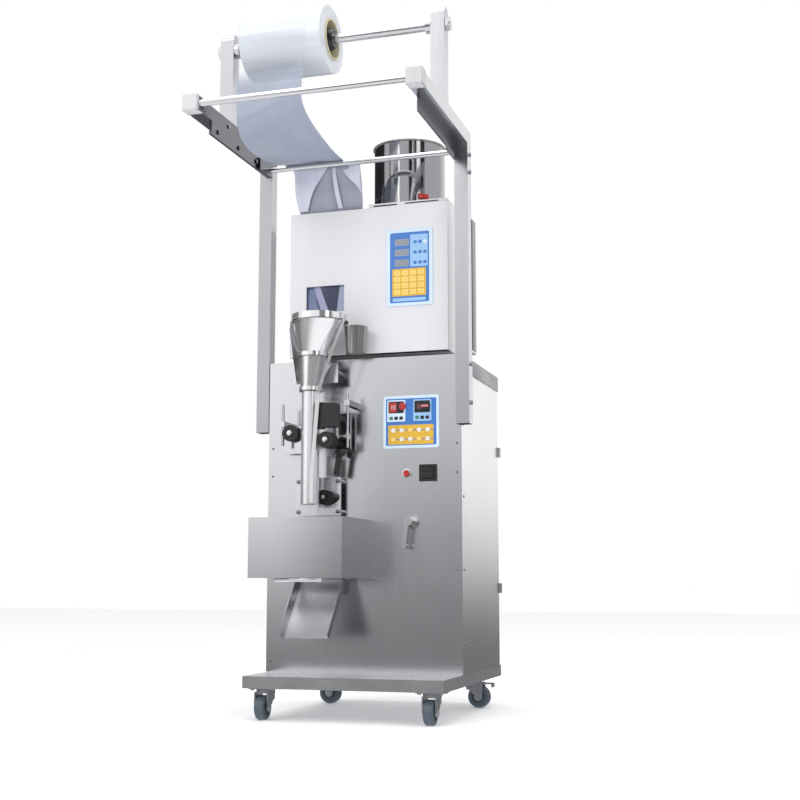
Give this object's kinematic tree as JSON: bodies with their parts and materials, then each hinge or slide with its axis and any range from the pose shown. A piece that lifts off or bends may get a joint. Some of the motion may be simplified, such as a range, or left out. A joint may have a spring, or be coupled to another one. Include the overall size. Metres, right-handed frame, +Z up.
{
  "type": "vertical form fill sealer",
  "caption": "Vertical form fill sealer on casters: steel cabinet, weighing cabinet with hopper, fill tube, film roll on forward arms, jaw guard and chute.",
  "frame": {"origin": "On the floor, at the bottom centre of the whole machine box.", "axes": "+Z up; the front with the fill tube and control panels faces -Y; +X is to the right of a person facing the front."},
  "size_m": [0.504, 0.752, 1.45],
  "materials": {
    "platform_steel": "satin",
    "cabinet_steel": "satin",
    "weigher_paint": "gloss",
    "frame_steel": "satin",
    "cap_plastic": "matte",
    "bar_steel": "polished",
    "film": "gloss",
    "core_card": "matte",
    "black_plastic": "satin",
    "mirror_steel": "polished",
    "guard_steel": "satin",
    "jaw_steel": "satin",
    "feeder_iron": "satin",
    "box_paint": "satin",
    "panel_print": "gloss",
    "lamp_red": "gloss",
    "handle_chrome": "polished",
    "roller_rubber": "matte",
    "caster_zinc": "satin",
    "wheel_rubber": "matte"
  },
  "bodies": {
    "frame": {"arm_caps": "cap_plastic", "arm_left": "frame_steel", "arm_rails": "frame_steel", "arm_right": "frame_steel", "base_platform": "platform_steel", "cabinet_front": "cabinet_steel", "cabinet_left": "cabinet_steel", "cabinet_right": "cabinet_steel", "cabinet_top": "cabinet_steel", "chute": "guard_steel", "collar_cup": "mirror_steel", "control_panel": "panel_print", "drive_motor": "feeder_iron", "electric_box": "box_paint", "feeder_base": "feeder_iron", "fill_tube": "mirror_steel", "film_web": "film", "forming_collar": "mirror_steel", "front_brackets": "guard_steel", "guard": "guard_steel", "hopper": "mirror_steel", "jaw_plate": "guard_steel", "lamp": "lamp_red", "post_left": "frame_steel", "post_right": "frame_steel", "spout": "jaw_steel", "switch_frame": "black_plastic", "upright_left": "frame_steel", "upright_right": "frame_steel", "weigh_bucket": "jaw_steel", "weigher_front": "weigher_paint", "weigher_panel": "panel_print", "weigher_shell": "weigher_paint"},
    "roll": {"roll_shaft": "bar_steel", "film_roll": "film", "roll_core": "core_card", "roll_cones": "black_plastic"},
    "front_idler": {"front_bar": "bar_steel"},
    "rear_idler": {"rear_bar": "bar_steel"},
    "swivel_front_left": {"caster_fork_front_left": "caster_zinc"},
    "swivel_front_right": {"caster_fork_front_right": "caster_zinc"},
    "swivel_rear_left": {"caster_fork_rear_left": "caster_zinc"},
    "swivel_rear_right": {"caster_fork_rear_right": "caster_zinc"},
    "wheel_front_left": {"caster_wheel_front_left": "wheel_rubber"},
    "wheel_front_right": {"caster_wheel_front_right": "wheel_rubber"},
    "wheel_rear_left": {"caster_wheel_rear_left": "wheel_rubber"},
    "wheel_rear_right": {"caster_wheel_rear_right": "wheel_rubber"},
    "pedal": {"brake_pedal": "caster_zinc"},
    "switch_rocker": {"rocker": "black_plastic"},
    "handle": {"door_handle": "handle_chrome"},
    "cam": {"cam_knob": "black_plastic"},
    "sealer": {"seam_sealer": "black_plastic"},
    "gate": {"bucket_gate": "jaw_steel"},
    "feed_tray": {"feeder_tray": "jaw_steel"},
    "back_jaw": {"jaw_rear": "jaw_steel"},
    "front_jaw": {"jaw_front": "jaw_steel"},
    "left_roller": {"pull_roller_left": "roller_rubber"},
    "right_roller": {"pull_roller_right": "roller_rubber"},
    "pull_arm": {"pull_lever": "black_plastic"},
    "service_door": {"rear_door": "cabinet_steel"}
  },
  "joints": [
    {"name": "roll_spin", "type": "hinge", "parent": "frame", "child": "roll", "pos_m": [0.002, -0.194, 1.38], "axis": [1, 0, 0], "continuous": true},
    {"name": "front_bar_spin", "type": "hinge", "parent": "frame", "child": "front_idler", "pos_m": [0.002, -0.364, 1.204], "axis": [1, 0, 0], "continuous": true},
    {"name": "rear_bar_spin", "type": "hinge", "parent": "frame", "child": "rear_idler", "pos_m": [0.002, -0.02, 1.175], "axis": [1, 0, 0], "continuous": true},
    {"name": "swivel_front_left_turn", "type": "hinge", "parent": "frame", "child": "swivel_front_left", "pos_m": [-0.174, -0.082, 0.058], "axis": [0, 0, 1], "continuous": true},
    {"name": "wheel_front_left_roll", "type": "hinge", "parent": "swivel_front_left", "child": "wheel_front_left", "pos_m": [-0.174, -0.097, 0.0245], "axis": [1, 0, 0], "continuous": true},
    {"name": "swivel_front_right_turn", "type": "hinge", "parent": "frame", "child": "swivel_front_right", "pos_m": [0.178, -0.082, 0.058], "axis": [0, 0, 1], "continuous": true},
    {"name": "wheel_front_right_roll", "type": "hinge", "parent": "swivel_front_right", "child": "wheel_front_right", "pos_m": [0.178, -0.097, 0.0245], "axis": [1, 0, 0], "continuous": true},
    {"name": "swivel_rear_left_turn", "type": "hinge", "parent": "frame", "child": "swivel_rear_left", "pos_m": [-0.18, 0.276, 0.058], "axis": [0, 0, 1], "continuous": true},
    {"name": "wheel_rear_left_roll", "type": "hinge", "parent": "swivel_rear_left", "child": "wheel_rear_left", "pos_m": [-0.165, 0.276, 0.0245], "axis": [0, 1, 0], "continuous": true},
    {"name": "swivel_rear_right_turn", "type": "hinge", "parent": "frame", "child": "swivel_rear_right", "pos_m": [0.17, 0.276, 0.058], "axis": [0, 0, 1], "continuous": true},
    {"name": "wheel_rear_right_roll", "type": "hinge", "parent": "swivel_rear_right", "child": "wheel_rear_right", "pos_m": [0.185, 0.276, 0.0245], "axis": [0, 1, 0], "continuous": true},
    {"name": "pedal_press", "type": "hinge", "parent": "swivel_rear_right", "child": "pedal", "pos_m": [0.195, 0.276, 0.0512], "axis": [0, 1, 0], "range_deg": [0, 12]},
    {"name": "rocker_tilt", "type": "hinge", "parent": "frame", "child": "switch_rocker", "pos_m": [0.145, 0.0076, 0.4995], "axis": [1, 0, 0], "range_deg": [-6, 6]},
    {"name": "handle_turn", "type": "hinge", "parent": "frame", "child": "handle", "pos_m": [0.109, 0.008, 0.399], "axis": [0, 1, 0], "range_deg": [0, 90]},
    {"name": "cam_turn", "type": "hinge", "parent": "frame", "child": "cam", "pos_m": [-0.072, -0.024, 0.4505], "axis": [0, 1, 0], "range_deg": [0, 90]},
    {"name": "sealer_press", "type": "slide", "parent": "frame", "child": "sealer", "axis": [-1, 0, 0], "range_m": [0, 0.0012]},
    {"name": "gate_open", "type": "hinge", "parent": "frame", "child": "gate", "pos_m": [-0.096, 0.1145, 0.9382], "axis": [1, 0, 0], "range_deg": [0, 35], "stiffness_Nm_per_rad": 0.05},
    {"name": "tray_shake", "type": "slide", "parent": "frame", "child": "feed_tray", "axis": [1, 0, 0], "range_m": [-0.001, 0.001], "stiffness_N_per_m": 4000},
    {"name": "rear_jaw_close", "type": "slide", "parent": "frame", "child": "back_jaw", "axis": [0, -1, 0], "range_m": [0, 0.0105]},
    {"name": "front_jaw_close", "type": "slide", "parent": "frame", "child": "front_jaw", "axis": [0, 1, 0], "range_m": [0, 0.0105]},
    {"name": "left_roller_spin", "type": "hinge", "parent": "frame", "child": "left_roller", "pos_m": [-0.1295, -0.064, 0.582], "axis": [0, 1, 0], "continuous": true},
    {"name": "right_roller_spin", "type": "hinge", "parent": "frame", "child": "right_roller", "pos_m": [-0.0505, -0.064, 0.566], "axis": [0, 1, 0], "continuous": true},
    {"name": "pull_arm_tilt", "type": "hinge", "parent": "frame", "child": "pull_arm", "pos_m": [-0.036, -0.034, 0.543], "axis": [0, 1, 0], "range_deg": [-10, 15]},
    {"name": "rear_door_swing", "type": "hinge", "parent": "frame", "child": "service_door", "pos_m": [0.2202, 0.3452, 0.3], "axis": [0, 0, -1], "range_deg": [0, 110]}
  ],
  "couplings": [
    {"joint": "front_jaw_close", "follows": "rear_jaw_close", "ratio": 1},
    {"joint": "right_roller_spin", "follows": "left_roller_spin", "ratio": -1}
  ]
}
